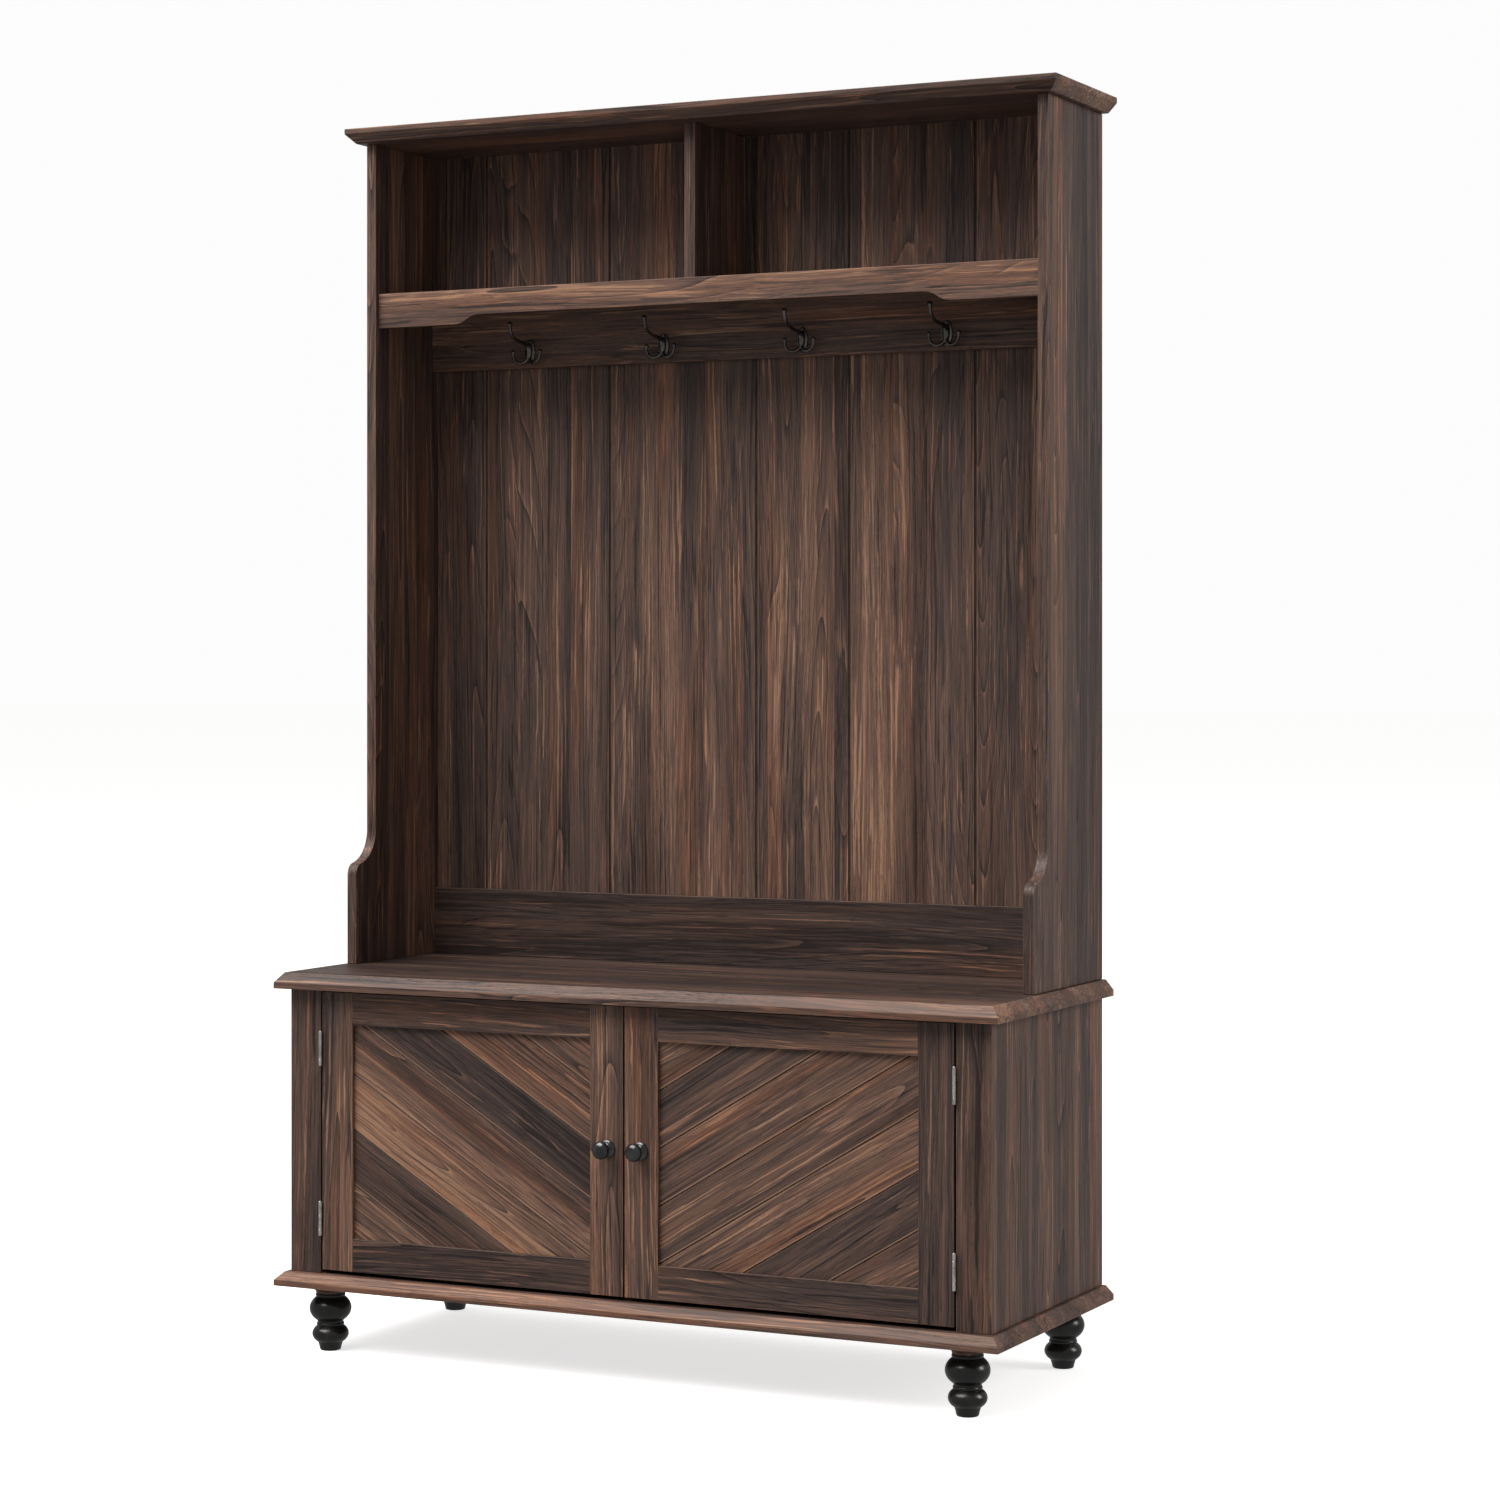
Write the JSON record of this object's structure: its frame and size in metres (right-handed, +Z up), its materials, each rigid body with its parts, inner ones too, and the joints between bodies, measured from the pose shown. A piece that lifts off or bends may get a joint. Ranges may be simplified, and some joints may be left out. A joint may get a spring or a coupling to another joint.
{
  "type": "hall tree with hooks",
  "caption": "Hall tree in dark walnut: bench cabinet with chevron doors on turned feet, and an open hutch with a coat hook rail and cubbies.",
  "frame": {"origin": "on the floor, under the middle of the bounding box", "axes": "+Z up, +X to the right as seen from the front, +Y towards the wall (the doors face -Y)"},
  "size_m": [1.155, 0.446, 1.82],
  "materials": {
    "walnut_boards": "satin dark walnut with long streaks",
    "walnut_panels": "satin dark walnut, scored into planks",
    "hardboard": "matt printed hardboard",
    "foot_black": "gloss black lacquer on turned wood",
    "knob_black": "gloss black",
    "hook_black": "satin black",
    "catch_black": "matt",
    "bright_steel": "nickel plated"
  },
  "bodies": {
    "frame": {"base_board": "walnut_boards", "seat_board": "walnut_boards", "cabinet_side_left": "walnut_boards", "cabinet_side_right": "walnut_boards", "face_stile_left": "walnut_boards", "face_stile_right": "walnut_boards", "cabinet_back": "hardboard", "cabinet_partition": "walnut_boards", "left_catch": "catch_black", "right_catch": "catch_black", "hutch_side_left": "walnut_boards", "hutch_side_right": "walnut_boards", "hutch_back_panel": "walnut_panels", "hook_rail": "walnut_boards", "seat_back_rail": "walnut_boards", "shelf_apron": "walnut_boards", "shelf_board": "walnut_boards", "cubby_divider": "walnut_boards", "top_board": "walnut_boards", "hook_1": "hook_black", "hook_2": "hook_black", "hook_3": "hook_black", "hook_4": "hook_black", "foot_front_left": "foot_black", "foot_collar_front_left": "walnut_boards", "foot_front_right": "foot_black", "foot_collar_front_right": "walnut_boards", "foot_back_left": "foot_black", "foot_collar_back_left": "walnut_boards", "foot_back_right": "foot_black", "foot_collar_back_right": "walnut_boards", "left_upper_hinge_cabinet_leaf": "bright_steel", "left_upper_hinge_pin": "bright_steel", "left_lower_hinge_cabinet_leaf": "bright_steel", "left_lower_hinge_pin": "bright_steel", "right_upper_hinge_cabinet_leaf": "bright_steel", "right_upper_hinge_pin": "bright_steel", "right_lower_hinge_cabinet_leaf": "bright_steel", "right_lower_hinge_pin": "bright_steel"},
    "left_door": {"left_door_meeting_stile": "walnut_boards", "left_door_hinge_stile": "walnut_boards", "left_door_top_rail": "walnut_boards", "left_door_bottom_rail": "walnut_boards", "left_door_panel": "walnut_panels", "left_door_knob": "knob_black", "left_knob_screw": "bright_steel", "left_strike_plate": "bright_steel", "left_upper_hinge_door_leaf": "bright_steel", "left_lower_hinge_door_leaf": "bright_steel"},
    "right_door": {"right_door_meeting_stile": "walnut_boards", "right_door_hinge_stile": "walnut_boards", "right_door_top_rail": "walnut_boards", "right_door_bottom_rail": "walnut_boards", "right_door_panel": "walnut_panels", "right_door_knob": "knob_black", "right_knob_screw": "bright_steel", "right_strike_plate": "bright_steel", "right_upper_hinge_door_leaf": "bright_steel", "right_lower_hinge_door_leaf": "bright_steel"}
  },
  "joints": [
    {"name": "left_door_hinge", "type": "hinge", "parent": "frame", "child": "left_door", "pos_m": [-0.502, -0.198, 0.32175], "axis": [0, 0, -1], "range_deg": [0, 165]},
    {"name": "right_door_hinge", "type": "hinge", "parent": "frame", "child": "right_door", "pos_m": [0.502, -0.198, 0.32175], "axis": [0, 0, 1], "range_deg": [0, 165]}
  ]
}
